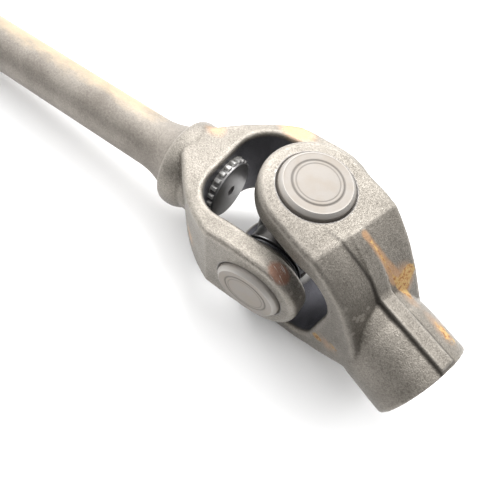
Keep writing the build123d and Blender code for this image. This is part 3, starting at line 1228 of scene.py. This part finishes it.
class DRIVESHAFT_OT_cups(bpy.types.Operator):
    """Build the four bearing cups"""

    bl_idname = "driveshaft.cups"
    bl_label = "Bearing cups"

    def execute(self, context):
        c = context.scene.cup_sizes
        mouth = c.face - c.length
        ceiling = c.face - c.floor
        groove_in = c.groove - c.groove_width / 2
        groove_out = c.groove + c.groove_width / 2
        groove_low = c.face - c.groove_depth
        outer_face = c.face - 0.12 * MM
        inner_face = c.face - 0.06 * MM
        fine_low = c.face - 0.16 * MM
        lip = 0.5 * MM
        ring_low = c.ring_top - c.ring_width
        ring_radius = c.radius - c.ring_depth
        outline = [
            (0, ceiling),
            (c.bore, ceiling),
            (c.bore, mouth),
            (c.radius - lip, mouth),
            (c.radius, mouth + lip),
            (c.radius, ring_low),
            (ring_radius, ring_low),
            (ring_radius, c.ring_top),
            (c.radius, c.ring_top),
            (c.radius, c.face - c.chamfer),
            (c.radius - c.chamfer, c.face),
            (c.radius - 1.3 * c.chamfer, outer_face),
            (groove_out, outer_face),
            (c.groove, groove_low),
            (groove_in, inner_face),
            (groove_in - 0.5 * MM, inner_face),
            (groove_in - 0.8 * MM, fine_low),
            (groove_in - 1.1 * MM, inner_face),
            (0, inner_face),
        ]
        for seat, matrix in SEATS.items():
            along = matrix @ Matrix.Rotation(math.radians(-90), 4, "Y")
            piece = lathe("cup_shell_" + seat, rounded(outline, 0.3 * MM), along, 144)
            x, y, z = local_points(piece.data, matrix).T
            reach = np.hypot(x, y)
            # Painted highlight: a brighter band on the chamfer round the face.
            band = step_up(reach, 10.5, 10.8) * step_up(-reach, -11.9, -11.6)
            # Painted shade in the face's two grooves.
            groove_shade = ridge(reach, 8.0, 0.3) + 0.6 * ridge(reach, 6.75, 0.2)
            paint(piece.data, "rim", band * step_up(z, 28.9, 29.4))
            paint(piece.data, "crease_shade", groove_shade * step_up(z, 29.5, 29.8))
            # Painted shade on the wall that sits inside the ear's bore.
            paint(piece.data, "wall_shade", step_up(-z, -28.9, -28.5))
            shade(piece, bpy.data.materials["cup_skin"], 50)
            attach(piece, SEAT_BODY[seat])
            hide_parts("bearing_cup_" + seat)
        return {"FINISHED"}


class DRIVESHAFT_OT_inner_pieces(bpy.types.Operator):
    """Finish the cross, rollers, washers, seals and rings"""

    bl_idname = "driveshaft.inner_pieces"
    bl_label = "Cross, seals and rings"

    def execute(self, context):
        kinds = {
            "cross": "cross_skin",
            "needle_rollers": "roller_skin",
            "thrust_washer": "roller_skin",
            "dust_seal": "seal_skin",
            "seal_retainer": "retainer_skin",
            "snap_ring": "ring_skin",
        }
        cross_edge, small_edge = 0.4 * MM, 0.1 * MM
        for name, node in PARTS.items():
            for kind, finish in kinds.items():
                if name.startswith(kind):
                    node.data.materials.clear()
                    node.data.materials.append(bpy.data.materials[finish])
                    self.soften(node, cross_edge if kind == "cross" else small_edge)
        return {"FINISHED"}

    @staticmethod
    def soften(node, width):
        """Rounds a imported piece's edges."""
        bevel = node.modifiers.new("edges", "BEVEL")
        bevel.width = width
        bevel.segments = 2
        bevel.limit_method = "ANGLE"
        bevel.angle_limit = math.radians(40)
        bevel.harden_normals = True


class DRIVESHAFT_OT_finishes(bpy.types.Operator):
    """Make the materials"""

    bl_idname = "driveshaft.finishes"
    bl_label = "Finishes"

    def execute(self, context):
        colours = context.scene.finish_colours
        forged_finish(colours)
        shaft_finish(colours)
        cup_finish(colours)
        rubber_finish(colours)
        steel_finish("cross_skin", colours.cross, 0.38)
        steel_finish("roller_skin", colours.bright, 0.24)
        steel_finish("retainer_skin", colours.retainer, 0.24)
        steel_finish("ring_skin", colours.ring, 0.26)
        return {"FINISHED"}


class DRIVESHAFT_OT_stage(bpy.types.Operator):
    """Set the floor, the lights and the camera"""

    bl_idname = "driveshaft.stage"
    bl_label = "Stage"

    def execute(self, context):
        stage = context.scene.stage_sizes
        self.floor(stage, context.scene.finish_colours)
        self.sky(context.scene, stage)
        self.lights(stage)
        self.camera(context.scene, stage)
        context.scene.view_settings.view_transform = "Standard"
        return {"FINISHED"}

    @staticmethod
    def floor(stage, colours):
        """White floor at the part's lowest point."""
        half = stage.floor / 2
        corners = [(-half, -half, 0), (half, -half, 0), (half, half, 0), (-half, half, 0)]
        low = CAD_BOX[0].z
        piece = new_piece("floor", corners, [(0, 1, 2, 3)], Matrix.Translation((0, 0, low)))
        paper = Finish("white_paper", Roughness=0.7, Base_Color=Finish.colour(colours.paper))
        piece.data.materials.append(paper.material)

    @staticmethod
    def sky(scene, stage):
        """Sky that brightens towards the window."""
        world = bpy.data.worlds.new("soft_sky")
        world.use_nodes = True
        scene.world = world
        sky = Nodes(world.node_tree)
        outward = sky.node("TexCoord", {}, {}, "Generated")
        window = Vector(stage.window).normalized()
        sockets = {0: outward, 1: window}
        facing = sky.node("VectorMath", {"operation": "DOT_PRODUCT"}, sockets, "Value")
        level = sky.ramp(facing, stage.edge, 1.0, stage.horizon, stage.sky)
        background = sky.tree.nodes["Background"]
        background.inputs["Color"].default_value = (1, 1, 1, 1)
        sky.tree.links.new(level.socket, background.inputs["Strength"])

    @staticmethod
    def lights(stage):
        """Key and fill lights that face the joint."""
        for name, power, place, size in (
            ("key", stage.key, stage.key_place, 0.42),
            ("fill", stage.fill, stage.fill_place, 0.40),
        ):
            data = bpy.data.lights.new(name, "AREA")
            data.energy = power
            data.size = size
            light = bpy.data.objects.new(name, data)
            light.location = JOINT + Vector(place)
            light.rotation_euler = Vector(place).to_track_quat("Z", "Y").to_euler()
            bpy.context.scene.collection.objects.link(light)

    @staticmethod
    def camera(scene, stage):
        """Camera with the photo's view."""
        data = bpy.data.cameras.new("camera")
        data.lens = stage.lens
        data.sensor_width = 36
        data.clip_start = 0.005
        camera = bpy.data.objects.new("camera", data)
        right = Vector(stage.camera_right)
        down = Vector(stage.camera_down)
        back = right.cross(-down)
        turn = Matrix((right, -down, back)).transposed().to_4x4()
        camera.matrix_world = Matrix.Translation(JOINT + Vector(stage.camera_place)) @ turn
        scene.collection.objects.link(camera)
        scene.camera = camera


class DRIVESHAFT_PT_panel(bpy.types.Panel):
    """Lists the steps that dress the drive shaft"""

    bl_idname = "DRIVESHAFT_PT_panel"
    bl_label = "Drive Shaft"
    bl_space_type = "VIEW_3D"
    bl_region_type = "UI"
    bl_category = "Drive Shaft"

    def draw(self, context):
        for step in STEPS:
            self.layout.operator(step.bl_idname)


STEPS = (
    DRIVESHAFT_OT_finishes,
    DRIVESHAFT_OT_stage,
    DRIVESHAFT_OT_shaft,
    DRIVESHAFT_OT_shaft_yoke,
    DRIVESHAFT_OT_socket_yoke,
    DRIVESHAFT_OT_cups,
    DRIVESHAFT_OT_inner_pieces,
)
GROUPS = {
    "forging_sizes": ForgingSizes,
    "shaft_sizes": ShaftSizes,
    "cup_sizes": CupSizes,
    "finish_colours": Colours,
    "stage_sizes": StageSizes,
}


def register():
    for name, group in GROUPS.items():
        bpy.utils.register_class(group)
        setattr(bpy.types.Scene, name, PointerProperty(type=group))
    for step in STEPS:
        bpy.utils.register_class(step)
    bpy.utils.register_class(DRIVESHAFT_PT_panel)


def unregister():
    bpy.utils.unregister_class(DRIVESHAFT_PT_panel)
    for step in reversed(STEPS):
        bpy.utils.unregister_class(step)
    for name, group in GROUPS.items():
        delattr(bpy.types.Scene, name)
        bpy.utils.unregister_class(group)


def main():
    register()
    for step in STEPS:
        section, name = step.bl_idname.split(".")
        getattr(getattr(bpy.ops, section), name)()


if __name__ == "__main__":
    main()
